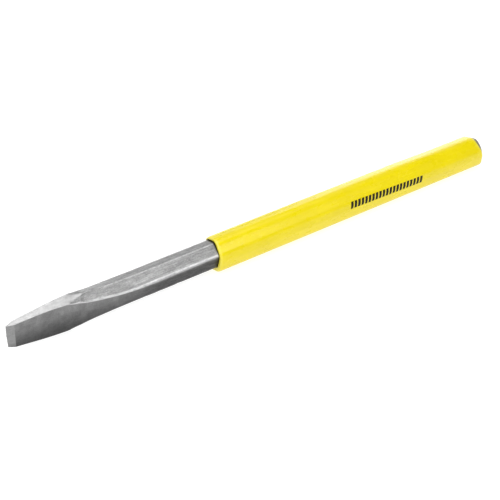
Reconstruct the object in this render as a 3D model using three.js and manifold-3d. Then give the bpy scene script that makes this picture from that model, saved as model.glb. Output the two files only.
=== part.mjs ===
// A cold chisel: one forged hexagonal steel bar with a flat chisel end and a struck head, and a
// soft plastic grip sleeve pressed over the bar. Millimetres. +X runs from the cutting edge to the
// struck head and +Z is up. The sleeve lies on one of its flats at Z = 0, and the part is centred
// on X = 0 and Y = 0.
import * as THREE from "three";
import { mergeVertices } from "three/addons/utils/BufferGeometryUtils.js";
import Module from "manifold-3d";

const wasm = await Module();
wasm.setup();

// Driving dimensions of the bar. Distances along the chisel start at the cutting edge.
const overallLength = 300;
const barAcrossFlats = 14;
const barCornerRadius = 2;
const headChamferLength = 1.6;
const headFaceRadius = 5.2;

// The blade: two cheeks forged down from two opposite flats of the bar, a narrow side ground on
// each of the two corners between them, and a short ground bevel on each cheek at the edge.
const edgeWidth = 16.6;
const edgeThickness = 0.24;
const bevelLength = 4.0;
const bevelThickness = 2.9;
const bladeWidest = 19.7;
const bladeWidestAt = 25;
const arrowAt = 41;
const arrowWidth = 18.8;
const cheekLength = 79;
// The cheek's hollow curve is pulled towards two points: how far along the cheek each one lies,
// and how far it stands above the bevel's thickness or below the bar's flat.
const cheekNearTip = { share: 0.7, rise: 2.5 };
const cheekNearBar = { share: 0.55, dip: 0.8 };
// The narrow side's taper is pulled in the same way between the edge and the widest place.
const taperNearEdge = { share: 0.3, rise: 0.75 };
const taperNearWidest = { share: 0.67 };
const arrowRunOut = 12;
// Forging spreads the steel sideways: a gentle swell first, then a quick flare at the shoulder,
// which starts earlier along the flats than along the corners between them.
const swell = { start: 80, run: 40, amount: 2.6, power: 2.5, limit: 1 };
const flatFlare = { start: 48, run: 15, amount: 3.5, power: 2.8, limit: 1.05 };
const cornerFlare = { start: 35, run: 10, amount: 2.5, power: 1.5, limit: 1.5 };
// The blade's width leans 30 degrees from vertical, which puts a flat of the bar underneath.
const bladeRoll = THREE.MathUtils.degToRad(120);

// The grip sleeve. Its wall is a little thicker underneath, and its ends are cut slightly off
// square, so that it is longest underneath.
const sleeveStart = 117.2;
const sleeveEnd = 297.1;
const sleeveEndSkew = 1.1;
const sleeveAcrossFlats = 18.7;
const sleeveCornerRadius = 6.6;
const mouthRim = { inset: 0.8, length: 1.6 };
const headRim = { inset: 0.5, length: 0.8 };
const sleeveDrop = 0.8;
const fitGap = 0.3;

const axisHeight = sleeveAcrossFlats / 2 + sleeveDrop;
const hexSides = 6;

// How far the cutting solids reach past the bar, and how finely the curved surfaces are stepped.
const overshoot = 20;
const clearance = 1;
const cheekLiftOff = 0.02;
const stationSpacing = 2.5;
const rimSteps = 5;
const cornerSteps = { bar: 5, sleeve: 8, bore: 4 };
const curveSteps = { cheek: 22, taper: 10, runOut: 6 };
const headSteps = 48;

const steel = new THREE.MeshStandardMaterial({ color: 0x9a9a9c, roughness: 0.42, metalness: 0.9 });
const gripYellow = new THREE.MeshStandardMaterial({ color: 0xf5de08, roughness: 0.3, metalness: 0 });

// A closed geometry as a solid that can be joined and cut.
function solidOf(geometry) {
  const bare = geometry.index ? geometry.toNonIndexed() : geometry.clone();
  bare.deleteAttribute("normal");
  bare.deleteAttribute("uv");
  const merged = mergeVertices(bare, 1e-4);
  const vertProperties = new Float32Array(merged.attributes.position.array);
  const triVerts = new Uint32Array(merged.index.array);
  return new wasm.Manifold(new wasm.Mesh({ numProp: 3, vertProperties, triVerts }));
}

// A solid back as a flat-shaded geometry.
function geometryOf(solid) {
  const mesh = solid.getMesh();
  const geometry = new THREE.BufferGeometry();
  geometry.setAttribute("position", new THREE.BufferAttribute(mesh.vertProperties, 3));
  geometry.setIndex(new THREE.BufferAttribute(mesh.triVerts, 1));
  const faceted = geometry.toNonIndexed();
  faceted.computeVertexNormals();
  return faceted;
}

// A regular hexagon with a flat at the top and rounded corners, as a closed outline.
function hexagonOutline(acrossFlats, cornerRadius) {
  const outline = new THREE.Shape();
  const centreRadius = (acrossFlats / 2 - cornerRadius) / Math.cos(Math.PI / hexSides);
  const halfTurn = Math.PI / hexSides;
  for (let side = 0; side < hexSides; side += 1) {
    const angle = 2 * side * halfTurn;
    const x = centreRadius * Math.cos(angle);
    const y = centreRadius * Math.sin(angle);
    outline.absarc(x, y, cornerRadius, angle - halfTurn, angle + halfTurn, false);
  }
  outline.closePath();
  return outline;
}

// An outline swept along X through a list of stations. Each point of a section is then moved by
// shape(station, across, through), which returns its new place.
function sweptAlongX(outline, stations, curveSegments, shape = (...place) => place) {
  const steps = stations.length - 1;
  const swept = new THREE.ExtrudeGeometry(outline, { depth: 1, steps, bevelEnabled: false, curveSegments });
  const position = swept.attributes.position;
  for (let i = 0; i < position.count; i += 1) {
    const station = stations[Math.round(position.getZ(i) * steps)];
    position.setXYZ(i, ...shape(station, position.getX(i), position.getY(i)));
  }
  return swept;
}

// How far the steel has spread sideways at a distance from the cutting edge. Height is 0 on the
// corners at the blade's sides and 1 on the two forged flats.
function spreadAt(station, height) {
  const grown = ({ start, run, amount, power, limit }) =>
    amount * THREE.MathUtils.clamp((start - station) / run, 0, limit) ** power;
  return grown(swell) + THREE.MathUtils.lerp(grown(cornerFlare), grown(flatFlare), height);
}

// The hexagonal bar, spread sideways towards the blade. Across is the blade's width.
function spreadBar() {
  const stations = [-overshoot, 0];
  for (let s = stationSpacing; s < swell.start; s += stationSpacing) stations.push(s);
  stations.push(swell.start, overallLength);
  const flatHalfWidth = barAcrossFlats / 2 / Math.sqrt(3);
  const spread = (station, across, through) => {
    const share = THREE.MathUtils.clamp(across / flatHalfWidth, -1, 1);
    const height = Math.abs(through) / (barAcrossFlats / 2);
    return [station, across + share * spreadAt(station, height), through];
  };
  const outline = hexagonOutline(barAcrossFlats, barCornerRadius);
  return solidOf(sweptAlongX(outline, stations, cornerSteps.bar, spread));
}

// The side view's outline: bevels at the edge, then the long hollow curve of both cheeks.
function cheekCutter() {
  const flat = barAcrossFlats / 2;
  const bevelTop = bevelThickness / 2;
  const open = flat + clearance;
  const cheekStart = new THREE.Vector2(bevelLength, bevelTop);
  const nearTip = new THREE.Vector2(cheekNearTip.share * cheekLength, bevelTop + cheekNearTip.rise);
  const nearBar = new THREE.Vector2(cheekNearBar.share * cheekLength, flat - cheekNearBar.dip);
  const cheekEnd = new THREE.Vector2(cheekLength, flat + cheekLiftOff);
  const curve = new THREE.CubicBezierCurve(cheekStart, nearTip, nearBar, cheekEnd);
  const upper = [new THREE.Vector2(0, edgeThickness / 2), ...curve.getPoints(curveSteps.cheek)];
  upper.push(new THREE.Vector2(cheekLength + clearance, open));
  upper.push(new THREE.Vector2(overallLength + overshoot, open));
  const lower = upper.map((point) => new THREE.Vector2(point.x, -point.y)).reverse();
  return sheetAcross(new THREE.Shape([...upper, ...lower]), 2 * overshoot);
}

// A side-view outline as a thick plate whose thickness runs across the blade.
function sheetAcross(outline, thickness) {
  const plate = new THREE.ExtrudeGeometry(outline, { depth: thickness, bevelEnabled: false });
  plate.translate(0, 0, -thickness / 2);
  plate.rotateX(Math.PI / 2);
  return solidOf(plate);
}

// The plan view's outline: the narrow sides run out in a point on each corner of the bar, and
// bow out and in again to the width of the cutting edge.
function narrowSideCutter() {
  const edgeHalf = edgeWidth / 2;
  const widestHalf = bladeWidest / 2;
  const arrowHalf = arrowWidth / 2;
  const arrowEnd = arrowAt + arrowRunOut;
  const atEdge = new THREE.Vector2(0, edgeHalf);
  const widest = new THREE.Vector2(bladeWidestAt, widestHalf);
  const atArrow = new THREE.Vector2(arrowAt, arrowHalf);
  const nearEdge = new THREE.Vector2(taperNearEdge.share * bladeWidestAt, edgeHalf + taperNearEdge.rise);
  const nearWidest = new THREE.Vector2(taperNearWidest.share * bladeWidestAt, widestHalf);
  const beyondWidest = new THREE.Vector2((bladeWidestAt + arrowAt) / 2, widestHalf);
  const taper = new THREE.CubicBezierCurve(atEdge, nearEdge, nearWidest, widest);
  const runOut = new THREE.QuadraticBezierCurve(widest, beyondWidest, atArrow);
  const upper = [...taper.getPoints(curveSteps.taper), ...runOut.getPoints(curveSteps.runOut).slice(1)];
  upper.push(new THREE.Vector2(arrowEnd, arrowHalf));
  upper.push(new THREE.Vector2(arrowEnd + clearance, overshoot));
  upper.push(new THREE.Vector2(overallLength + overshoot, overshoot));
  const lower = upper.map((point) => new THREE.Vector2(point.x, -point.y)).reverse();
  const plate = new THREE.ExtrudeGeometry(new THREE.Shape([...upper, ...lower]), {
    depth: 2 * overshoot,
    bevelEnabled: false,
  });
  plate.translate(0, 0, -overshoot);
  return solidOf(plate);
}

// A turned envelope that chamfers the corners of the struck head.
function headChamferCutter() {
  const wide = 2 * overshoot;
  const slope = (barAcrossFlats / Math.sqrt(3) - headFaceRadius) / headChamferLength;
  const profile = [
    new THREE.Vector2(0, -overshoot),
    new THREE.Vector2(wide, -overshoot),
    new THREE.Vector2(wide, overallLength - (wide - headFaceRadius) / slope),
    new THREE.Vector2(headFaceRadius, overallLength),
    new THREE.Vector2(0, overallLength),
  ];
  const envelope = new THREE.LatheGeometry(profile, headSteps);
  envelope.rotateZ(-Math.PI / 2);
  return solidOf(envelope);
}

// The one-piece steel body, rolled so that a flat of the bar is underneath.
function chiselBody() {
  const blade = spreadBar().intersect(cheekCutter()).intersect(narrowSideCutter());
  const geometry = geometryOf(blade.intersect(headChamferCutter()));
  const body = new THREE.Mesh(geometry, steel);
  body.name = "chisel_body";
  body.rotation.x = bladeRoll;
  return body;
}

// The stations of one rounded rim, a quarter of an ellipse, with the inset of the surface at each.
// The rim starts at the sleeve's end and runs inwards.
function rimStations(end, direction, rim) {
  const stations = [];
  for (let step = 0; step <= rimSteps; step += 1) {
    const angle = (step / rimSteps) * (Math.PI / 2);
    const at = end + direction * rim.length * (1 - Math.cos(angle));
    stations.push({ at, inset: rim.inset * (1 - Math.sin(angle)) });
  }
  return stations;
}

// The grip sleeve: softly hexagonal outside, with a hexagonal bore right through.
function gripSleeve() {
  const mouth = rimStations(sleeveStart, 1, mouthRim);
  const stations = [...mouth, ...rimStations(sleeveEnd, -1, headRim).reverse()];
  const insets = new Map(stations.map(({ at, inset }) => [at, inset]));
  const half = sleeveAcrossFlats / 2;
  const middle = (sleeveStart + sleeveEnd) / 2;
  const roundRims = (station, across, through) => {
    const scale = (half - insets.get(station)) / half;
    const lean = (-sleeveEndSkew * through) / half;
    const along = station + Math.sign(station - middle) * lean;
    return [along, across * scale, through * scale - sleeveDrop];
  };
  const outside = hexagonOutline(sleeveAcrossFlats, sleeveCornerRadius);
  const places = stations.map(({ at }) => at);
  const skin = solidOf(sweptAlongX(outside, places, cornerSteps.sleeve, roundRims));
  const boreOutline = hexagonOutline(barAcrossFlats + 2 * fitGap, barCornerRadius);
  const bore = solidOf(sweptAlongX(boreOutline, [0, overallLength + overshoot], cornerSteps.bore));
  const sleeve = new THREE.Mesh(geometryOf(skin.subtract(bore)), gripYellow);
  sleeve.name = "grip_sleeve";
  return sleeve;
}

const chisel = new THREE.Group();
chisel.add(chiselBody(), gripSleeve());
chisel.position.set(-overallLength / 2, 0, axisHeight);

export default chisel;
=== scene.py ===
import math

import bpy
import numpy as np
from mathutils import Matrix, Vector, noise


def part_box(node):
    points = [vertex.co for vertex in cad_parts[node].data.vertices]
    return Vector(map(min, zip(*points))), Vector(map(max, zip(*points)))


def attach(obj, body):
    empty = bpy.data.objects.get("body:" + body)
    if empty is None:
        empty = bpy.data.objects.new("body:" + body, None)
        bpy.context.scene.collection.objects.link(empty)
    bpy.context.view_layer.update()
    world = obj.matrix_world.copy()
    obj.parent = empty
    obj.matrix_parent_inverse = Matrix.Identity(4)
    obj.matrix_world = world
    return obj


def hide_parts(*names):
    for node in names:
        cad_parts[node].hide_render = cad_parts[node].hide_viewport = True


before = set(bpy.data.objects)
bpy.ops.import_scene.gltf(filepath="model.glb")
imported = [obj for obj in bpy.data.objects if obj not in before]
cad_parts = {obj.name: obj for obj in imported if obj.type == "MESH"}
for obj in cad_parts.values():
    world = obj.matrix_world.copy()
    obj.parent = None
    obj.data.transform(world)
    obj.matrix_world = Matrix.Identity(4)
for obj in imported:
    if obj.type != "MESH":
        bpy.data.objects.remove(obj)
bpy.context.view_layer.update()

MM = 0.001
SIXTH_TURN = math.pi / 3

# ---------------------------------------------------------------- sizes, in millimetres
# The steel body. A station is a distance from the cutting edge, w runs along the blade's width
# and t through its thickness. The blade is a little wider here than in the CAD, its edge is
# thinner, and the slant, nicks, offset, skew, dome and lowered head are only here.
BODY_LOW, BODY_HIGH = (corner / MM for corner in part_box("chisel_body"))
EDGE_X = BODY_LOW.x
OVERALL_LENGTH = BODY_HIGH.x - BODY_LOW.x
ACROSS_FLATS = 14.0
BAR_CORNER = ACROSS_FLATS / math.sqrt(3)
BLADE_ROLL = math.radians(120)
EDGE_WIDTH = 16.6
EDGE_THICKNESS = 0.2
EDGE_SLANT = 0.45
EDGE_NICKS = 0.05
BEVEL_LENGTH = 4.0
BEVEL_THICKNESS = 2.9
BLADE_WIDEST = 20.7
BLADE_WIDEST_AT = 27.0
BLADE_OFFSET = 0.48
DIE_SKEW = 0.38
ARROW_AT = 41.0
ARROW_WIDTH = 19.7
RUN_OUT_AT = 36.0
RUN_OUT_SLOPE = 0.075
CHEEK_LENGTH = 79.0
HEAD_CHAMFER = 1.6
HEAD_FACE_RADIUS = 5.2
HEAD_DOME = 0.06
HEAD_WEAR = 0.015
HEAD_LOWERED = 0.7

# Handles of the blade's curves: a share of the curve's length, and an offset at that handle.
CHEEK_NEAR_TIP, CHEEK_TIP_RISE = 0.70, 2.5
CHEEK_NEAR_BAR, CHEEK_BAR_DIP = 0.55, 0.8
TAPER_NEAR_EDGE, TAPER_EDGE_RISE = 0.3, 0.75
TAPER_NEAR_WIDEST = 0.67

# How far the forging spread the bar sideways, which is amount * share ** power. The share is 0
# at the start and grows by 1 for each run towards the cutting edge, up to its limit.
SWELL = dict(start=80.0, run=40.0, amount=2.6, power=2.5, limit=1.0)
FLAT_FLARE = dict(start=48.0, run=15.0, amount=3.5, power=2.8, limit=1.05)
CORNER_FLARE = dict(start=35.0, run=10.0, amount=2.5, power=1.5, limit=1.5)

# How crisply two surfaces of the body meet: a higher power makes a smaller rounding. The
# head's chamfer is joined on only near the head.
BAR_POWER = 26.0
SHANK_CHEEK_POWER = 18.0
BLADE_CHEEK_POWER = 55.0
NARROW_POWER = 110.0
CHAMFER_POWER = 70.0
CHAMFER_NEAR = 6.0

# The body's mesh: points on a quarter of a ring, trial points for it, and steps between rings.
RING_QUARTER = 56
TRIAL_POINTS = 700
TURN_WEIGHT = 0.9
BEVEL_STEP = 0.3
BARE_STEP = 0.45
HIDDEN_STEP = 6.0
HEAD_FACE_RINGS = (0.97, 0.9, 0.75, 0.55, 0.35, 0.15)

# The grip sleeve. A rim is how far its rounding goes in, and how far along. The rims, the bore
# and the head end's lean and sag differ a little from the CAD's.
SLEEVE_LOW, SLEEVE_HIGH = (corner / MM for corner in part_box("grip_sleeve"))
SLEEVE_SKEW = 1.1
SLEEVE_START = SLEEVE_LOW.x + SLEEVE_SKEW
SLEEVE_END = SLEEVE_HIGH.x - SLEEVE_SKEW
SLEEVE_FLATS = SLEEVE_HIGH.z
SLEEVE_HALF = SLEEVE_FLATS / 2
SLEEVE_CORNER = 6.6
SLEEVE_DROP = 0.8
HEAD_END_SKEW = 1.4
HEAD_END_SAG = 0.55
BORE_FLATS = 14.5
BORE_CORNER = 3.0
MOUTH_RIM = (1.0, 1.8)
HEAD_RIM = (0.45, 0.7)
BORE_RIM = (0.2, 0.3)
SLOW_WAVES = 0.07
ORANGE_PEEL = 0.02

AXIS_HEIGHT = SLEEVE_HALF + SLEEVE_DROP
MOUTH_STATION = SLEEVE_START - EDGE_X
TAIL_STATION = SLEEVE_END - EDGE_X

# The sleeve's mesh: points on each soft corner and flat, and the step between its rings.
ARC_POINTS = 20
FLAT_STEPS = 4
SLEEVE_STEP = 1.3
BORE_RINGS = 30

# The line of printed marks. Its angles are round the sleeve, from -Y.
PRINT_START = 51.6
PRINT_LENGTH = 51.0
PRINT_HEIGHT = 4.0
PRINT_ANGLE = math.radians(3)
PRINT_TILT = math.radians(-12)
PRINT_BARS = 21
PRINT_FILL = 0.68
PRINT_SLANT = 1.1
PRINT_BELOW, PRINT_ABOVE = 0.05, 0.03
PRINT_COLUMNS, PRINT_ROWS = 3, 9


# ---------------------------------------------------------------- small helpers
def smooth(value, low, high):
    """0 below low, 1 above high, and a smooth step between them."""
    t = np.clip((np.asarray(value, float) - low) / (high - low), 0, 1)
    return t * t * (3 - 2 * t)


def bezier(points, count=400):
    """A Bezier curve of any degree as an array of points."""
    t = np.linspace(0, 1, count)[:, None]
    curve = [np.array(p, float)[None, :] + 0 * t for p in points]
    while len(curve) > 1:
        curve = [a * (1 - t) + b * t for a, b in zip(curve, curve[1:])]
    return curve[0]


def noise_at(points, size, octaves, seed):
    """Smooth noise from -1 to 1 at each point, with features of about that size."""
    offset = Vector((seed * 7.1, seed * 3.3, seed * 5.7))
    flat = points.reshape(-1, 3)
    values = [noise.fractal(Vector(p / size) + offset, 0.9, 2.1, octaves) for p in flat]
    return np.array(values).reshape(points.shape[:-1])


def mesh_object(name, vertices, faces, material, attributes=None):
    """A smooth-shaded mesh with its own attributes, riding on the one body. Vertices in mm."""
    mesh = bpy.data.meshes.new(name)
    mesh.from_pydata((np.asarray(vertices) * MM).tolist(), [], faces)
    mesh.shade_smooth()
    for key, values in (attributes or {}).items():
        values = np.asarray(values, np.float32)
        if values.ndim == 1:
            mesh.attributes.new(key, "FLOAT", "POINT").data.foreach_set("value", values)
        else:
            layer = mesh.attributes.new(key, "FLOAT_VECTOR", "POINT")
            layer.data.foreach_set("vector", values.ravel())
    mesh.validate()
    piece = bpy.data.objects.new(name, mesh)
    bpy.context.scene.collection.objects.link(piece)
    mesh.materials.append(material)
    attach(piece, "root")
    return piece


def ring_normals(grid):
    """Unit normals of a grid of points whose second index runs round a closed ring."""
    around = np.roll(grid, -1, 1) - np.roll(grid, 1, 1)
    normals = np.cross(around, np.gradient(grid, axis=0))
    length = np.linalg.norm(normals, axis=2, keepdims=True)
    return normals / np.maximum(length, 1e-12)


def ring_faces(rows, columns, closed_rows=False):
    """Quads between neighbouring rings."""
    faces = []
    for row in range(rows if closed_rows else rows - 1):
        below, above = row * columns, ((row + 1) % rows) * columns
        for i in range(columns):
            j = (i + 1) % columns
            faces.append((below + i, above + i, above + j, below + j))
    return faces


# ---------------------------------------------------------------- the steel body's section
def spread_at(station, height):
    """How far the forging has spread the bar sideways, at height 0 (corners) to 1 (flats)."""

    def grown(flare):
        share = np.clip((flare["start"] - station) / flare["run"], 0, flare["limit"])
        return flare["amount"] * share ** flare["power"]

    low, high = grown(CORNER_FLARE), grown(FLAT_FLARE)
    return grown(SWELL) + low + (high - low) * height


def cheek_half_thickness(station):
    """Half the thickness between the cheeks, from the cutting edge to the bar."""
    flat, start = ACROSS_FLATS / 2, BEVEL_THICKNESS / 2
    near_tip = (CHEEK_NEAR_TIP * CHEEK_LENGTH, start + CHEEK_TIP_RISE)
    near_bar = (CHEEK_NEAR_BAR * CHEEK_LENGTH, flat - CHEEK_BAR_DIP)
    curve = bezier([(BEVEL_LENGTH, start), near_tip, near_bar, (CHEEK_LENGTH, flat)])
    cheek = np.interp(station, curve[:, 0], curve[:, 1])
    bevel = np.interp(station, [0, BEVEL_LENGTH], [EDGE_THICKNESS / 2, start])
    return np.where(station < BEVEL_LENGTH, bevel, cheek)


def narrow_half_width(station):
    """Half the width between the ground narrow sides. It opens out where they run out."""
    edge, widest, arrow = EDGE_WIDTH / 2, BLADE_WIDEST / 2, ARROW_WIDTH / 2
    near_edge = (TAPER_NEAR_EDGE * BLADE_WIDEST_AT, edge + TAPER_EDGE_RISE)
    near_widest = (TAPER_NEAR_WIDEST * BLADE_WIDEST_AT, widest)
    middle = ((BLADE_WIDEST_AT + ARROW_AT) / 2, widest)
    taper = bezier([(0, edge), near_edge, near_widest, (BLADE_WIDEST_AT, widest)])
    narrowing = bezier([(BLADE_WIDEST_AT, widest), middle, (ARROW_AT, arrow)])
    curve = np.vstack([taper, narrowing[1:]])
    width = np.interp(station, curve[:, 0], curve[:, 1])
    return width + RUN_OUT_SLOPE * np.maximum(station - RUN_OUT_AT, 0)


def joined(a, b, power):
    """Two surfaces as one with a rounded corner, all as 1 / distance from the axis."""
    return (a**power + b**power) ** (1 / power)


def share_of(a, b, power):
    """How much of the joined surface belongs to the first one, from 0 to 1."""
    return a**power / (a**power + b**power)


def body_section(station):
    """A quarter of the section, from the narrow side to the cheek, as points (w, t), and for
    each point its shares of narrow side, cheek, side corner and cheek corner."""
    flat_spread = float(spread_at(station, 1.0))
    corner_spread = float(spread_at(station, 0.0))
    lean = math.atan2(BAR_CORNER / 2 + corner_spread - flat_spread, ACROSS_FLATS / 2)
    facet = (BAR_CORNER + corner_spread) * math.cos(lean)
    thick = float(cheek_half_thickness(station))
    wide = float(narrow_half_width(station))
    in_blade = 1 - float(smooth(station, 30, 75))
    cheek_power = SHANK_CHEEK_POWER + (BLADE_CHEEK_POWER - SHANK_CHEEK_POWER) * in_blade

    phi = np.linspace(0, math.pi / 2, TRIAL_POINTS)
    reach = min(wide, BAR_CORNER + corner_spread)
    direction = np.stack([reach * np.cos(phi), thick * np.sin(phi)], 1)
    direction /= np.linalg.norm(direction, axis=1, keepdims=True)
    u, v = direction[:, 0], direction[:, 1]
    near = (u * math.cos(lean) + v * math.sin(lean)) / facet
    far = np.maximum(u * math.cos(lean) - v * math.sin(lean), 0) / facet
    bar = joined(near, far, BAR_POWER)
    closed = joined(v / thick, bar, cheek_power)
    inverse = joined(u / wide, closed, NARROW_POWER)
    to_head = OVERALL_LENGTH - station
    if to_head < CHAMFER_NEAR:
        slope = (BAR_CORNER - HEAD_FACE_RADIUS) / HEAD_CHAMFER
        turned = HEAD_FACE_RADIUS + slope * to_head
        inverse = joined(inverse, 1 / turned, CHAMFER_POWER)
    points = direction / inverse[:, None]

    narrow = share_of(u / wide, closed, NARROW_POWER)
    cheek = share_of(v / thick, bar, cheek_power) * (1 - narrow)
    # Masks of the worn corners, which also carry a painted highlight.
    side = side_corner(far / near, station) * (1 - narrow)
    wear_and_highlight = cheek_corner_wear_and_highlight(v / thick / bar, station) * (1 - narrow)
    return points, np.stack([narrow, cheek, side, wear_and_highlight], 1)


def side_corner(ratio, station):
    """How near the bar's side corner a point is, the mask of its wear and painted highlight. The ratio of
    its two facets is 1 there.
    """
    return smooth(ratio, 0.86, 0.95) * float(smooth(station, 43, 56))


def cheek_corner_wear_and_highlight(ratio, station):
    """How far a point lies in the worn band along the cheek's corner, which also carries a painted
    highlight. The ratio of cheek to facet is 1 there, and the band is wider on the shank."""
    in_shank = float(smooth(station, 60, 88))
    on_facet = 0.17 + 0.09 * in_shank
    on_cheek = 0.07 * in_shank
    rising = smooth(ratio, 1 - on_facet, 1 - 0.6 * on_facet)
    return rising * (1 - smooth(ratio, 1 - 2 * on_cheek, 1.06))


def resampled(points, shares):
    """The same quarter with a fixed number of points, closest together where it turns."""
    step = np.diff(points, axis=0)
    length = np.linalg.norm(step, axis=1)
    heading = np.unwrap(np.arctan2(step[:, 1], step[:, 0]))
    turning = np.abs(np.diff(heading, prepend=heading[0])) / (math.pi / 2)
    effort = np.concatenate([[0], np.cumsum(length / length.sum() + TURN_WEIGHT * turning)])
    wanted = np.linspace(0, effort[-1], RING_QUARTER + 1)
    columns = [np.interp(wanted, effort, column) for column in np.hstack([points, shares]).T]
    return np.stack(columns, 1)


def whole_ring(quarter):
    """A full ring from a quarter, counter-clockwise from the +w axis."""
    mirror_w, mirror_t = np.ones(quarter.shape[1]), np.ones(quarter.shape[1])
    mirror_w[0], mirror_t[1] = -1, -1
    second = quarter[::-1] * mirror_w
    third = quarter * mirror_w * mirror_t
    fourth = quarter[::-1] * mirror_t
    return np.vstack([quarter[:-1], second[:-1], third[:-1], fourth[:-1]])


# ---------------------------------------------------------------- the steel body's length
def body_stations():
    """Stations along the body: close on the blade and bare shank, far apart under the sleeve,
    and closest at the cutting edge and on both sides of the bevel's and chamfer's corners."""
    head, chamfer = OVERALL_LENGTH, OVERALL_LENGTH - HEAD_CHAMFER
    parts = [
        np.array([0, 0.04, 0.12, 0.25]),
        np.arange(0.5, BEVEL_LENGTH - 0.2, BEVEL_STEP),
        BEVEL_LENGTH + np.array([-0.15, -0.05, 0, 0.05, 0.15]),
        np.arange(BEVEL_LENGTH + 0.5, MOUTH_STATION + 6, BARE_STEP),
        np.arange(MOUTH_STATION + 8, head - 6, HIDDEN_STEP),
        np.linspace(head - 5, chamfer - 0.3, 8),
        chamfer + np.array([-0.15, -0.05, 0.05, 0.2]),
        np.linspace(chamfer + 0.45, head - 0.35, 4),
        head - np.array([0.18, 0.08, 0.02, 0.0]),
    ]
    return np.concatenate(parts)


def world_place(stations, w, t):
    """Points of the body from its own station, width and thickness. The two dies that forged
    the blade met a little askew and pushed it to one edge, the cutting edge slants at its
    lower corner, and the head sits low in the sleeve."""
    in_blade = smooth(stations, 8, 22) * (1 - smooth(stations, 42, 62))
    lower_corner = np.clip(-w / (EDGE_WIDTH / 2), 0, 1)
    slant = EDGE_SLANT * lower_corner * (1 - smooth(stations, 0, BEVEL_LENGTH))
    lowered = HEAD_LOWERED * smooth(stations, OVERALL_LENGTH - 8, OVERALL_LENGTH - 2.5)
    stations = stations - DIE_SKEW * t * in_blade + slant
    w = w - BLADE_OFFSET * (1 - smooth(stations, 38, 58))
    c, s = math.cos(BLADE_ROLL), math.sin(BLADE_ROLL)
    return np.stack([EDGE_X + stations, c * w - s * t, AXIS_HEIGHT - lowered + s * w + c * t], -1)


def dents(own, seed, count, along, across, radius, depth):
    """Small shallow dents at seeded places, as a depth at every point of the body."""
    random = np.random.default_rng(seed)
    total = np.zeros(own.shape[:2])
    for _ in range(count):
        centre = np.array([random.uniform(*along), *across(random)])
        size = random.uniform(*radius) * np.array([random.uniform(1, 2.2), 1, 1])
        distance = (((own - centre) / size) ** 2).sum(2)
        total = np.maximum(total, random.uniform(*depth) * np.exp(-distance))
    return total


def corner_place(random):
    """A place on one of the bar's six corners, as (w, t)."""
    angle = SIXTH_TURN * random.integers(0, 6) + random.normal(0, 0.05)
    return BAR_CORNER * math.cos(angle), BAR_CORNER * math.sin(angle)


def face_place(random):
    """A place anywhere round the bar, a little inside its flats."""
    angle = random.uniform(0, 2 * math.pi)
    radius = ACROSS_FLATS / 2 - 0.5
    return radius * math.cos(angle), radius * math.sin(angle)


def forging_marks(own, ground):
    """How far out each point is pushed by the skin's waves and draw lines, less its dents."""
    station = own[:, :, 0]
    ends = smooth(station, 0.2, 2.0) * (1 - smooth(station, OVERALL_LENGTH - 3, OVERALL_LENGTH - 1))
    waves = 0.035 * noise_at(own, size=(9, 5, 5), octaves=3, seed=1)
    ripples = 0.012 * noise_at(own, size=(1.6, 1.2, 1.2), octaves=2, seed=2)
    lines = 0.006 * noise_at(own, size=(30, 0.5, 0.5), octaves=2, seed=3)
    corners = dents(own, 11, 60, (44, 118), corner_place, radius=(0.35, 0.9), depth=(0.05, 0.22))
    faces = dents(own, 12, 90, (8, 118), face_place, radius=(0.3, 0.9), depth=(0.02, 0.07))
    skin = (waves + ripples + lines) * (1 - 0.85 * ground)
    return (skin - corners - faces * (1 - ground)) * ends


def struck_face(last_ring):
    """Rings inside the last one, and a centre point, that close the head with a slightly
    domed and worn face."""
    centre = world_place(np.array([OVERALL_LENGTH]), np.zeros(1), np.zeros(1))
    rings = []
    for share in HEAD_FACE_RINGS:
        ring = centre + (last_ring - centre) * share
        radial = np.linalg.norm(ring[:, 1:] - centre[:, 1:], axis=1)
        wear = HEAD_WEAR * noise_at(ring, size=(1.5, 1.5, 1.5), octaves=3, seed=9)
        ring[:, 0] = last_ring[:, 0] - HEAD_DOME * (radial / HEAD_FACE_RADIUS) ** 2 + wear
        rings.append(ring)
    return np.vstack([*rings, centre])


def body_faces(rows, columns):
    """The rings' quads, the cutting edge's strip and the fan round the head's centre point."""
    faces = ring_faces(rows, columns)
    for i in range(columns // 2):
        strip = (i, i + 1, columns - i - 1, (columns - i) % columns)
        faces.append(tuple(dict.fromkeys(strip)))
    last, centre = (rows - 1) * columns, rows * columns
    for i in range(columns):
        faces.append((last + i, centre, last + (i + 1) % columns))
    return faces


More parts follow.
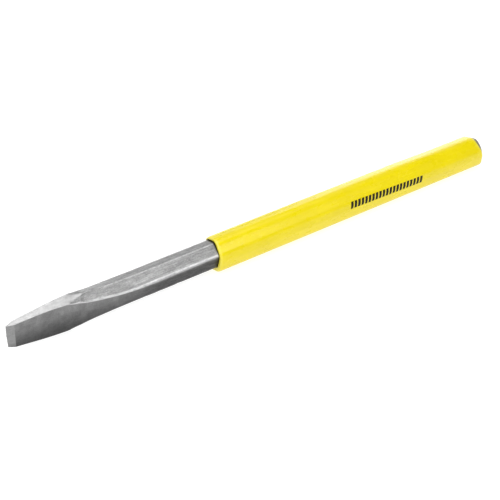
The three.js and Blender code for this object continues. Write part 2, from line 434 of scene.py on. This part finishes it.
def chisel_body(material):
    stations = body_stations()
    rings = np.array([whole_ring(resampled(*body_section(s))) for s in stations])
    columns = rings.shape[1]
    along = np.repeat(stations[:, None], columns, 1)
    own = np.dstack([along, rings[:, :, :2]])
    narrow, cheek, side, wear_and_highlight = np.moveaxis(rings[:, :, 2:], 2, 0)
    bevel = (1 - smooth(along, BEVEL_LENGTH - 0.1, BEVEL_LENGTH + 0.1)) * (1 - narrow)
    ground = np.maximum(narrow, bevel)

    grid = world_place(along, own[:, :, 1], own[:, :, 2])
    grid = grid + ring_normals(grid) * forging_marks(own, ground)[:, :, None]
    nicks = EDGE_NICKS * (1 + noise_at(own[0], size=(1.1, 1.1, 1.1), octaves=3, seed=6))
    grid[:, :, 0] += (1 - smooth(stations, 0, 0.6))[:, None] * nicks

    vertices = np.vstack([grid.reshape(-1, 3), struck_face(grid[-1])])
    face_own = [own[-1] * [1, share, share] for share in HEAD_FACE_RINGS]
    own = np.vstack([own.reshape(-1, 3), *face_own, [OVERALL_LENGTH, 0, 0]])
    # Painted shade where the sleeve covers the steel, which shows as a dark line in the gap at its mouth.
    covered = smooth(own[:, 0], MOUTH_STATION - 0.4, MOUTH_STATION)
    covered = covered * (1 - smooth(own[:, 0], TAIL_STATION - 1, TAIL_STATION - 0.2))

    def with_face(values):
        """The rings' values, and 0 on the struck face."""
        return np.pad(values.ravel(), (0, len(vertices) - values.size))

    attributes = {
        "own_mm": own,
        "ground": with_face(ground),
        "bevel": with_face(bevel),
        "sleeve_gap_shade": covered,
        "forged": with_face(cheek * (1 - smooth(along, 55, 85))),
        "cheek": with_face(cheek),
        # The corners' masks carry their wear and a painted highlight.
        "side_corner": with_face(side),
        "cheek_corner_wear_and_highlight": with_face(wear_and_highlight),
        "head": smooth(own[:, 0], OVERALL_LENGTH - 4, OVERALL_LENGTH - 2),
    }
    faces = body_faces(len(stations) + len(HEAD_FACE_RINGS), columns)
    body = mesh_object("steel_body", vertices, faces, material, attributes)
    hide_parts("chisel_body")


# ---------------------------------------------------------------- the sleeve's shape
def soft_hexagon(across_flats, corner_radius):
    """A hexagon with flats at top and bottom and rounded corners, as points (y, z) and their
    outward normals. Every such hexagon has the same number of points, one for one."""
    centre = (across_flats / 2 - corner_radius) / math.cos(math.pi / 6)
    hubs = [centre * np.array([math.cos(k * SIXTH_TURN), math.sin(k * SIXTH_TURN)]) for k in range(7)]
    points, normals = [], []
    for side, (hub, next_hub) in enumerate(zip(hubs, hubs[1:])):
        for turn in np.linspace(side - 0.5, side + 0.5, ARC_POINTS):
            normal = np.array([math.cos(turn * SIXTH_TURN), math.sin(turn * SIXTH_TURN)])
            points.append(hub + corner_radius * normal)
            normals.append(normal)
        for step in range(1, FLAT_STEPS):
            points.append(hub + (next_hub - hub) * step / FLAT_STEPS + corner_radius * normal)
            normals.append(normal)
    return np.array(points), np.array(normals)


def rim_profile(rim, steps):
    """A quarter of an ellipse: how far along, and how far in, from the end face's corner."""
    inset, length = rim
    angles = np.linspace(0, math.pi / 2, steps)
    return list(zip(length * (1 - np.cos(angles)), inset * (1 - np.sin(angles))))


def sleeve_profile():
    """The sleeve's section along its length as rows of (x, share): share 0 is the bore's
    outline and 1 the outside, and the rows run once round the wall."""
    wall = (SLEEVE_FLATS - BORE_FLATS) / 2
    mouth, head, bore = rim_profile(MOUTH_RIM, 12), rim_profile(HEAD_RIM, 9), rim_profile(BORE_RIM, 6)
    rows = [(SLEEVE_START + x, 1 - inset / wall) for x, inset in mouth]
    rows += [(x, 1.0) for x in np.arange(SLEEVE_START + 3.4, SLEEVE_END - 2.2, SLEEVE_STEP)]
    rows += [(SLEEVE_END - x, 1 - inset / wall) for x, inset in head[::-1]]
    rows.append((SLEEVE_END, 0.45))
    rows += [(SLEEVE_END - x, inset / wall) for x, inset in bore]
    rows += [(x, 0.0) for x in np.linspace(SLEEVE_END - 3, SLEEVE_START + 4, BORE_RINGS)]
    rows += [(SLEEVE_START + x, inset / wall) for x, inset in bore[::-1]]
    rows.append((SLEEVE_START, 0.16))
    return np.array(rows)


def sleeve_surface(x, share):
    """Points and outward normals of rings of the sleeve. Share 1 is the outside."""
    outside, normals = soft_hexagon(SLEEVE_FLATS, SLEEVE_CORNER)
    outside = outside + [0, SLEEVE_HALF]
    bore, _ = soft_hexagon(BORE_FLATS, BORE_CORNER)
    bore = bore + [0, AXIS_HEIGHT]
    share = share[:, None, None]
    section = bore * (1 - share) + outside * share
    height = (section[:, :, 1] - SLEEVE_HALF) / SLEEVE_HALF
    skew = np.interp(x, [SLEEVE_START, SLEEVE_END], [-SLEEVE_SKEW, HEAD_END_SKEW])
    lean = -height * skew[:, None]
    grid = np.dstack([x[:, None] + lean, section])
    outward = np.pad(normals, ((0, 0), (1, 0)))
    return grid, np.broadcast_to(outward, grid.shape)


def sleeve_wave(grid):
    """How far the soft wall stands out, below zero all over: long slow waves, a fine orange
    peel, and the top's sag at the head end."""
    slow = noise_at(grid, size=(38, 9, 9), octaves=2, seed=21)
    quick = noise_at(grid, size=(11, 4, 4), octaves=2, seed=22)
    waves = -SLOW_WAVES * (0.5 + 0.5 * slow) - ORANGE_PEEL * (0.5 + 0.5 * quick)
    upper = np.clip(grid[..., 2] / SLEEVE_HALF - 1, 0, 1)
    return waves - HEAD_END_SAG * upper * smooth(grid[..., 0], 90, 122)


def grip_sleeve(material):
    x, share = sleeve_profile().T
    grid, outward = sleeve_surface(x, share)
    push = sleeve_wave(grid) * np.clip(share, 0, 1)[:, None]
    grid = grid + outward * push[:, :, None]
    from_end = np.minimum(x - SLEEVE_START, SLEEVE_END - x)
    columns = grid.shape[1]
    attributes = {
        "own_mm": grid.reshape(-1, 3),
        # Painted highlight on the rounded rims at both ends.
        "rim": np.repeat(0.45 * (1 - smooth(from_end, 0.2, 1.6)), columns),
        # Painted shade in the bore.
        "inside": np.repeat(1 - smooth(share, 0.02, 0.12), columns),
    }
    faces = ring_faces(len(x), columns, closed_rows=True)
    sleeve = mesh_object("vinyl_sleeve", grid.reshape(-1, 3), faces, material, attributes)
    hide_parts("grip_sleeve")


# ---------------------------------------------------------------- the printed marks
def outside_at(x, angle):
    """A point on the sleeve's outside and its normal, by the normal's angle from -Y."""
    hub_step = (SLEEVE_HALF - SLEEVE_CORNER) / math.cos(math.pi / 6)
    around = math.pi - angle
    nearest = round(around / SIXTH_TURN) * SIXTH_TURN
    normal = np.array([math.cos(around), math.sin(around)])
    place = hub_step * np.array([math.cos(nearest), math.sin(nearest)]) + SLEEVE_CORNER * normal
    place = place + [0, SLEEVE_HALF]
    return np.array([x, *place]), np.array([0, *normal])


def print_bar_vertices(start, width, centre_angle):
    """One slanted bar's underside and then its top, each as rows of points up the bar."""
    half_angle = PRINT_HEIGHT / 2 / SLEEVE_CORNER
    vertices = []
    for lift in (-PRINT_BELOW, PRINT_ABOVE):
        for row in range(PRINT_ROWS):
            rise = 2 * row / (PRINT_ROWS - 1) - 1
            for column in range(PRINT_COLUMNS):
                x = start + PRINT_SLANT * rise / 2 + width * column / (PRINT_COLUMNS - 1)
                place, normal = outside_at(x, centre_angle + half_angle * rise)
                vertices.append(place + normal * (sleeve_wave(place[None, :])[0] + lift))
    return vertices


def print_bar_faces(first):
    """Quads of one bar: its underside, its top and the thin wall round its border."""
    layer, right, top = PRINT_ROWS * PRINT_COLUMNS, PRINT_COLUMNS - 1, PRINT_ROWS - 1
    faces = []
    for row in range(top):
        for column in range(right):
            a = first + row * PRINT_COLUMNS + column
            quad = (a, a + 1, a + 1 + PRINT_COLUMNS, a + PRINT_COLUMNS)
            faces.append(quad[::-1])
            faces.append(tuple(k + layer for k in quad))
    border = list(range(right))
    border += [row * PRINT_COLUMNS + right for row in range(top)]
    border += [top * PRINT_COLUMNS + column for column in range(right, 0, -1)]
    border += [row * PRINT_COLUMNS for row in range(top, 0, -1)]
    for a, b in zip(border, border[1:] + border[:1]):
        faces.append((first + a, first + b, first + b + layer, first + a + layer))
    return faces


def printed_marks(material):
    """A line of plain slanted bars, thin as ink, lying on the sleeve's side."""
    pitch = PRINT_LENGTH / PRINT_BARS
    vertices, faces = [], []
    for bar in range(PRINT_BARS):
        angle = PRINT_ANGLE + PRINT_TILT * (bar + 0.5) / PRINT_BARS
        faces += print_bar_faces(len(vertices))
        vertices += print_bar_vertices(PRINT_START + bar * pitch, PRINT_FILL * pitch, angle)
    marks = mesh_object("printed_marks", vertices, faces, material)


# ---------------------------------------------------------------- materials
class NodeTree:
    """Short calls that build one material's nodes round a Principled shader."""

    def __init__(self, name):
        self.material = bpy.data.materials.new(name)
        self.material.use_nodes = True
        self.tree = self.material.node_tree
        self.tree.nodes.clear()
        self.shader = self.tree.nodes.new("ShaderNodeBsdfPrincipled")
        output = self.tree.nodes.new("ShaderNodeOutputMaterial")
        self.tree.links.new(self.shader.outputs["BSDF"], output.inputs["Surface"])

    def put(self, socket, value):
        if isinstance(value, bpy.types.NodeSocket):
            self.tree.links.new(value, socket)
        else:
            socket.default_value = value

    def attribute(self, name, output="Fac"):
        node = self.tree.nodes.new("ShaderNodeAttribute")
        node.attribute_name = name
        return node.outputs[output]

    def math(self, operation, a, b):
        node = self.tree.nodes.new("ShaderNodeMath")
        node.operation = operation
        self.put(node.inputs[0], a)
        self.put(node.inputs[1], b)
        return node.outputs[0]

    def product(self, first, *others):
        for other in others:
            first = self.math("MULTIPLY", first, other)
        return first

    def axes(self, vector):
        node = self.tree.nodes.new("ShaderNodeSeparateXYZ")
        self.put(node.inputs[0], vector)
        return node.outputs["X"], node.outputs["Y"], node.outputs["Z"]

    def noise(self, vector, waves, detail, roughness):
        """Noise from about 0.3 to 0.7, with that many waves along each axis for each unit."""
        stretched = self.tree.nodes.new("ShaderNodeVectorMath")
        stretched.operation = "MULTIPLY"
        self.put(stretched.inputs[0], vector)
        stretched.inputs[1].default_value = waves
        node = self.tree.nodes.new("ShaderNodeTexNoise")
        node.inputs["Scale"].default_value = 1.0
        node.inputs["Detail"].default_value = detail
        node.inputs["Roughness"].default_value = roughness
        self.put(node.inputs["Vector"], stretched.outputs[0])
        return node.outputs["Fac"]

    def range(self, value, start, end):
        """A smooth step through two (value, result) pairs, level outside them."""
        node = self.tree.nodes.new("ShaderNodeMapRange")
        node.interpolation_type = "SMOOTHSTEP"
        self.put(node.inputs["Value"], value)
        node.inputs["From Min"].default_value, node.inputs["To Min"].default_value = start
        node.inputs["From Max"].default_value, node.inputs["To Max"].default_value = end
        return node.outputs[0]

    def pattern(self, vector, waves, detail, roughness, start, end):
        return self.range(self.noise(vector, waves, detail, roughness), start, end)

    def mix(self, factor, a, b, blend="MIX"):
        node = self.tree.nodes.new("ShaderNodeMix")
        node.data_type = "RGBA"
        node.blend_type = blend
        self.put(node.inputs["Factor"], factor)
        self.put(node.inputs[6], a)
        self.put(node.inputs[7], b)
        return node.outputs[2]

    def grey(self, value):
        node = self.tree.nodes.new("ShaderNodeCombineColor")
        for socket in node.inputs:
            self.put(socket, value)
        return node.outputs[0]

    def bump(self, height, distance):
        node = self.tree.nodes.new("ShaderNodeBump")
        node.inputs["Strength"].default_value = 1.0
        node.inputs["Distance"].default_value = distance
        self.put(node.inputs["Height"], height)
        return node.outputs["Normal"]

    def surface(self, **values):
        for key, value in values.items():
            self.put(self.shader.inputs[key.replace("_", " ")], value)
        return self.material


# Steel's tones. A pair is a gradient: over the blade's width from its lower edge to its upper one for
# cheeks and bevels, and over the length from the cutting edge for facets and sides.
# The cheeks' dark tones and the gradients of cheeks and bevels are painted shade, the facets' lighter tone
# near the blade is painted light, and the corners' light tones are wear with a painted highlight.
SHANK_CHEEK_SHADE = 0.088
BLADE_CHEEK_SHADE_TONES = (0.068, 0.236)
FACET_TONES = (0.49, 0.40)
NARROW_SIDE_TONES = (0.37, 0.42)
BEVEL_SHADE_TONES = (0.17, 0.28)
WORN_CORNER_HIGHLIGHT = (0.76, 0.76, 0.76, 1)
RUBBED_CORNER_HIGHLIGHT = (0.86, 0.86, 0.86, 1)
HEAD_BROWN = (0.23, 0.20, 0.155, 1)
HEAD_COVER = 0.9
HEAD_DULLING = 0.8
# Painted shade on the steel under the sleeve.
UNDER_SLEEVE_SHADE = (0.030, 0.025, 0.008, 1)
STEEL_RELIEF = 0.035 * MM


def steel_skin(m, own):
    """The bar's drawn skin and the blade's forged cheeks, with painted shade: dark cheeks, darker towards
    the blade's lower edge, and a darker far side.
    """
    station, width, through = m.axes(own)
    forged_share, cheek = m.attribute("forged"), m.attribute("cheek")
    patches = m.pattern(own, (0.22, 0.45, 0.45), 4, 0.6, (0.35, 0.86), (0.65, 1.12))
    speckle = m.pattern(own, (1.1, 1.5, 1.5), 3, 0.65, (0.35, 0.86), (0.65, 1.12))
    lines = m.pattern(own, (0.05, 3.2, 3.2), 3, 0.6, (0.3, 0.80), (0.7, 1.16))
    cloud = m.pattern(own, (0.20, 0.16, 0.2), 4, 0.6, (0.3, 0.84), (0.7, 1.14))
    bands = m.pattern(own, (0.7, 0.12, 0.3), 3, 0.6, (0.3, 0.95), (0.7, 1.05))
    grit = m.pattern(own, (1.8, 1.8, 1.8), 3, 0.6, (0.3, 0.9), (0.7, 1.1))
    drawn, forged = m.product(patches, speckle, lines), m.product(cloud, bands, grit)
    mottle = m.mix(forged_share, m.grey(drawn), m.grey(forged))

    # Painted shade darkens the cheeks: on the blade on top of their forged scale, deepest towards the
    # lower edge, and on the shank as shade alone.
    lower, upper = BLADE_CHEEK_SHADE_TONES
    blade_cheek = m.grey(m.range(width, (-10.0, lower), (9.5, upper)))
    shank_cheek = (SHANK_CHEEK_SHADE, SHANK_CHEEK_SHADE, SHANK_CHEEK_SHADE, 1)
    cheeks = m.mix(forged_share, shank_cheek, blade_cheek)
    # Painted light: the facets are lighter near the blade.
    near_blade, shank = FACET_TONES
    facets = m.grey(m.range(station, (38.0, near_blade), (62.0, shank)))
    skin = m.mix(1.0, mottle, m.mix(cheek, facets, cheeks), "MULTIPLY")

    # Painted shade: the far side of the bar is darker, more so along the shank.
    far_side = m.range(through, (-0.6, 1.0), (0.1, 0.0))
    depth = m.range(station, (52.0, 0.08), (72.0, 0.20))
    shade = m.math("SUBTRACT", 1.0, m.product(far_side, depth))
    return m.mix(1.0, skin, m.grey(shade), "MULTIPLY")


def ground_steel(m, own):
    """The wheel-marked narrow sides and bevels."""
    station, width, _ = m.axes(own)
    scratch = m.pattern(own, (7.0, 0.7, 0.7), 2, 0.6, (0.3, 0.93), (0.7, 1.05))
    blotch = m.pattern(own, (0.5, 0.5, 0.5), 3, 0.6, (0.3, 0.92), (0.7, 1.06))
    at_edge, at_widest = NARROW_SIDE_TONES
    sides = m.grey(m.range(station, (0.0, at_edge), (26.0, at_widest)))
    # Painted shade: the bevels darken towards the blade's lower edge.
    lower, upper = BEVEL_SHADE_TONES
    honed = m.grey(m.range(width, (-9.5, lower), (-4.0, upper)))
    bright = m.mix(m.attribute("bevel"), sides, honed)
    return m.mix(1.0, m.grey(m.product(scratch, blotch)), bright, "MULTIPLY")


def steel_material():
    """Drawn and forged bar with a mottled grey skin, lighter where it is ground, with painted highlights
    on its worn corners and painted shade where the sleeve covers it.
    """
    m = NodeTree("forged_steel")
    own = m.attribute("own_mm", "Vector")
    station, _, through = m.axes(own)
    ground, head = m.attribute("ground"), m.attribute("head")
    colour = m.mix(ground, steel_skin(m, own), ground_steel(m, own))

    # Painted highlight on the worn side corner, on the bar's near side only.
    worn = m.pattern(own, (0.8, 1.4, 1.4), 4, 0.65, (0.40, 0.25), (0.56, 1.0))
    near_side = m.range(through, (-0.3, 0.0), (0.05, 1.0))
    side = m.product(m.range(m.attribute("side_corner"), (0.0, 0.0), (1.0, 0.7)), near_side, worn)
    colour = m.mix(side, colour, WORN_CORNER_HIGHLIGHT)
    # Painted highlight along the worn cheek corner, stronger on the shank.
    steady = m.pattern(own, (0.4, 0.8, 0.8), 3, 0.6, (0.3, 0.5), (0.5, 1.0))
    polish_and_highlight = m.range(station, (52.0, 0.66), (68.0, 0.88))
    wear_and_highlight = m.product(m.attribute("cheek_corner_wear_and_highlight"), polish_and_highlight, steady)
    colour = m.mix(wear_and_highlight, colour, RUBBED_CORNER_HIGHLIGHT)
    colour = m.mix(m.product(head, HEAD_COVER), colour, HEAD_BROWN)
    # Painted shade where the sleeve covers the steel: a dark line in the gap at its mouth.
    colour = m.mix(m.attribute("sleeve_gap_shade"), colour, UNDER_SLEEVE_SHADE)

    rough = m.pattern(own, (0.3, 0.9, 0.9), 4, 0.6, (0.3, 0.36), (0.7, 0.52))
    rough = m.math("SUBTRACT", rough, m.product(ground, 0.04))
    rough = m.math("SUBTRACT", rough, m.product(wear_and_highlight, 0.06))

    grain = m.noise(own, (1.9, 2.3, 2.3), 4, 0.65)
    draw_marks = m.noise(own, (0.08, 5.0, 5.0), 3, 0.6)
    skin_height = m.math("ADD", grain, m.product(draw_marks, 0.5))
    wheel_height = m.product(m.noise(own, (9.0, 0.8, 0.8), 3, 0.6), 0.35)
    height = m.mix(ground, m.grey(skin_height), m.grey(wheel_height))
    return m.surface(
        Base_Color=colour,
        Metallic=m.math("SUBTRACT", 1.0, m.product(head, HEAD_DULLING)),
        Roughness=rough,
        Normal=m.bump(height, STEEL_RELIEF),
    )


VINYL_DEEP = (0.81, 0.665, 0.001, 1)
VINYL_BRIGHT = (0.86, 0.71, 0.002, 1)
VINYL_STREAK = (0.76, 0.60, 0.001, 1)
VINYL_RIM_HIGHLIGHT = (0.90, 0.80, 0.12, 1)
VINYL_BORE_SHADE = (0.10, 0.08, 0.005, 1)
VINYL_RELIEF = 0.012 * MM


def vinyl_material():
    """Soft glossy yellow vinyl with faint moulding streaks and smudges, a painted highlight at its rims
    and painted shade in its bore.
    """
    m = NodeTree("yellow_vinyl")
    own = m.attribute("own_mm", "Vector")
    cloud = m.pattern(own, (0.05, 0.12, 0.12), 3, 0.55, (0.3, 0.0), (0.7, 1.0))
    streak = m.pattern(own, (0.02, 0.9, 0.9), 3, 0.6, (0.35, 0.0), (0.7, 0.25))
    smudge = m.pattern(own, (0.09, 0.2, 0.2), 4, 0.6, (0.35, 0.25), (0.7, 0.34))
    colour = m.mix(cloud, VINYL_DEEP, VINYL_BRIGHT)
    colour = m.mix(streak, colour, VINYL_STREAK)
    # Painted highlight at the rims.
    colour = m.mix(m.attribute("rim"), colour, VINYL_RIM_HIGHLIGHT)
    # Painted shade darkens the bore.
    colour = m.mix(m.attribute("inside"), colour, VINYL_BORE_SHADE)
    peel = m.noise(own, (0.8, 1.1, 1.1), 3, 0.55)
    fine = m.product(m.noise(own, (5.0, 5.0, 5.0), 2, 0.5), 0.12)
    return m.surface(
        Base_Color=colour,
        Roughness=smudge,
        Normal=m.bump(m.math("ADD", peel, fine), VINYL_RELIEF),
        IOR=1.5,
        Specular_IOR_Level=0.5,
    )


INK_BLACK = (0.008, 0.006, 0.002, 1)
INK_THIN = (0.14, 0.11, 0.01, 1)
INK_THINNING = 0.18
INK_WAVES = 900


def ink_material():
    """Flat black printing ink, a little thin in places."""
    m = NodeTree("black_ink")
    place = m.tree.nodes.new("ShaderNodeTexCoord").outputs["Object"]
    patchy = m.pattern(place, (INK_WAVES, INK_WAVES, INK_WAVES), 3, 0.6, (0.45, 0.0), (0.75, INK_THINNING))
    return m.surface(
        Base_Color=m.mix(patchy, INK_BLACK, INK_THIN),
        Roughness=m.range(patchy, (0.0, 0.55), (INK_THINNING, 0.7)),
        Specular_IOR_Level=0.25,
    )


# ---------------------------------------------------------------- camera, floor and light
CAMERA_AIM = Vector((-10.35, 0.0, 3.65)) * MM
CAMERA_DISTANCE = 0.6307
CAMERA_HEADING = math.radians(26.834)
CAMERA_DOWN = math.radians(21.862)
CAMERA_ROLL = math.radians(-11.585)
CAMERA_LENS = 84.31
CAMERA_SENSOR = 36.0
FLOOR_HALF_SIZE = 6.0
FLOOR_DROP = 0.8 * MM
FLOOR_GLOW = 0.82
WORLD_GLOW = 0.07


def add_camera():
    """The camera stands in front and to the left, looks along its heading (from +Y towards +X)
    and down, and is rolled about its own view."""
    forward = Vector((
        math.sin(CAMERA_HEADING) * math.cos(CAMERA_DOWN),
        math.cos(CAMERA_HEADING) * math.cos(CAMERA_DOWN),
        -math.sin(CAMERA_DOWN),
    ))
    level = forward.cross(Vector((0, 0, 1))).normalized()
    right = Matrix.Rotation(CAMERA_ROLL, 3, -forward) @ level
    up = right.cross(forward)
    data = bpy.data.cameras.new("camera")
    data.lens = CAMERA_LENS
    data.sensor_width = CAMERA_SENSOR
    data.clip_start, data.clip_end = 0.01, 50.0
    camera = bpy.data.objects.new("camera", data)
    axes = Matrix((right, up, -forward)).transposed().to_4x4()
    camera.matrix_world = Matrix.Translation(CAMERA_AIM - forward * CAMERA_DISTANCE) @ axes
    bpy.context.scene.collection.objects.link(camera)
    bpy.context.scene.camera = camera


def add_floor():
    """A plain white light table, just below the lowest point of the chisel."""
    m = NodeTree("pale_floor")
    m.surface(
        Base_Color=(0.34, 0.34, 0.34, 1),
        Roughness=0.9,
        Specular_IOR_Level=0.1,
        Emission_Color=(1, 1, 1, 1),
        Emission_Strength=FLOOR_GLOW,
    )
    mesh = bpy.data.meshes.new("floor")
    half = FLOOR_HALF_SIZE
    corners = [(-half, -half, 0), (half, -half, 0), (half, half, 0), (-half, half, 0)]
    mesh.from_pydata(corners, [], [(0, 1, 2, 3)])
    mesh.materials.append(m.material)
    floor = bpy.data.objects.new("floor", mesh)
    floor.location.z = -FLOOR_DROP
    bpy.context.scene.collection.objects.link(floor)


def add_softbox(name, heading, elevation, distance, size, radiance):
    """A rectangular lamp that faces the chisel. Heading 0 is in front, at -Y, and 90 at +X."""
    heading, elevation = math.radians(heading), math.radians(elevation)
    toward = Vector((
        math.sin(heading) * math.cos(elevation),
        -math.cos(heading) * math.cos(elevation),
        math.sin(elevation),
    ))
    data = bpy.data.lights.new(name, "AREA")
    data.shape = "RECTANGLE"
    data.size, data.size_y = size
    data.energy = radiance * math.pi * size[0] * size[1]
    lamp = bpy.data.objects.new(name, data)
    lamp.location = toward * distance
    lamp.rotation_euler = toward.to_track_quat("Z", "Y").to_euler()
    bpy.context.scene.collection.objects.link(lamp)


def add_light():
    world = bpy.data.worlds.new("studio")
    world.use_nodes = True
    background = world.node_tree.nodes["Background"]
    background.inputs["Color"].default_value = (1, 1, 1, 1)
    background.inputs["Strength"].default_value = WORLD_GLOW
    bpy.context.scene.world = world
    add_softbox("overhead", heading=-60, elevation=87, distance=1.6, size=(1.3, 1.45), radiance=2.5)
    add_softbox("front_left", heading=-40, elevation=46, distance=1.7, size=(1.3, 1.3), radiance=3.2)
    add_softbox("front_card", heading=14, elevation=32, distance=1.8, size=(0.90, 0.34), radiance=4.8)
    add_softbox("back_left", heading=178, elevation=20, distance=2.2, size=(1.7, 1.7), radiance=0.9)
    add_softbox("back_right", heading=130, elevation=21, distance=2.2, size=(1.4, 1.8), radiance=2.0)
    add_softbox("horizon", heading=158, elevation=5, distance=2.1, size=(2.6, 0.34), radiance=3.0)


# ---------------------------------------------------------------- everything together
chisel_body(steel_material())
grip_sleeve(vinyl_material())
printed_marks(ink_material())
add_floor()
add_light()
add_camera()
bpy.context.scene.view_settings.view_transform = "Standard"
